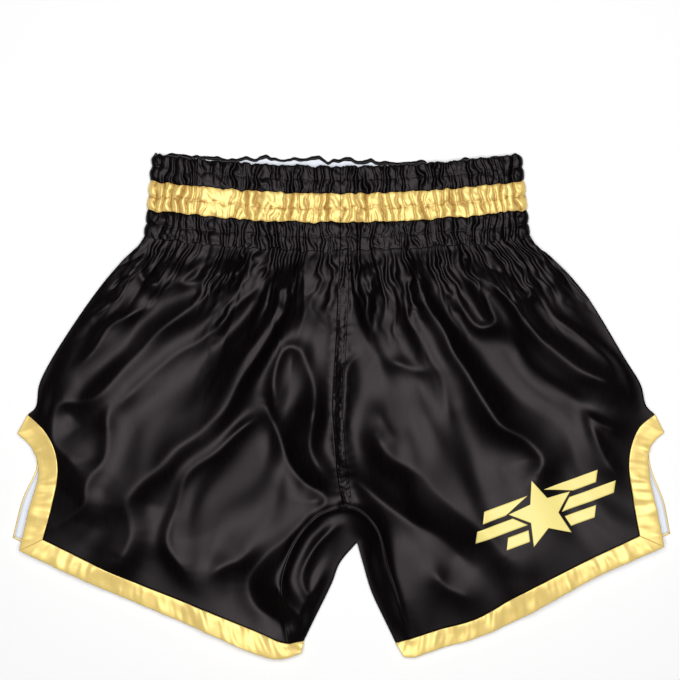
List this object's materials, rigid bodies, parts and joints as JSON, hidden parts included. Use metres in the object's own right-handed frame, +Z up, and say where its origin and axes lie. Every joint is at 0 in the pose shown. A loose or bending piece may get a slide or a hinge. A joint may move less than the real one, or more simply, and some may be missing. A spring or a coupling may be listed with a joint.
{
  "type": "boxing shorts",
  "caption": "Satin boxing shorts laid flat: wide gathered elastic waistband with a contrast stripe, flared legs with side vents and contrast binding, and a printed emblem.",
  "frame": {"origin": "middle of the outline's box, on the surface that the shorts lie on", "axes": "+X across the front towards the wearer's left leg, +Y towards the waistband, +Z up out of the front"},
  "size_m": [0.5908, 0.4514, 0.0174],
  "materials": {
    "black_satin": "glossy black polyester satin",
    "gold_satin": "glossy gold polyester satin",
    "white_lining": "plain white woven lining",
    "elastic": "ribbed white knitted elastic",
    "gold_print": "smooth gold screen print"
  },
  "bodies": {
    "root": {"front_panel_right": "black_satin", "front_vent_trim_right": "gold_satin", "front_hem_trim_right": "gold_satin", "front_lining_right": "white_lining", "back_panel_right": "black_satin", "back_vent_trim_right": "gold_satin", "back_hem_trim_right": "gold_satin", "back_lining_right": "white_lining", "front_panel_left": "black_satin", "front_vent_trim_left": "gold_satin", "front_hem_trim_left": "gold_satin", "front_lining_left": "white_lining", "back_panel_left": "black_satin", "back_vent_trim_left": "gold_satin", "back_hem_trim_left": "gold_satin", "back_lining_left": "white_lining", "crotch_gusset": "black_satin", "front_band_lower_right": "black_satin", "back_band_lower_right": "black_satin", "front_band_lower_left": "black_satin", "back_band_lower_left": "black_satin", "front_band_gold_right": "gold_satin", "back_band_gold_right": "gold_satin", "front_band_gold_left": "gold_satin", "back_band_gold_left": "gold_satin", "front_band_top_right": "black_satin", "back_band_top_right": "black_satin", "front_band_top_left": "black_satin", "back_band_top_left": "black_satin", "elastic_1": "elastic", "elastic_2": "elastic", "elastic_3": "elastic", "elastic_4": "elastic", "elastic_5": "elastic", "elastic_6": "elastic", "band_facing": "white_lining", "leg_emblem": "gold_print"}
  },
  "joints": []
}
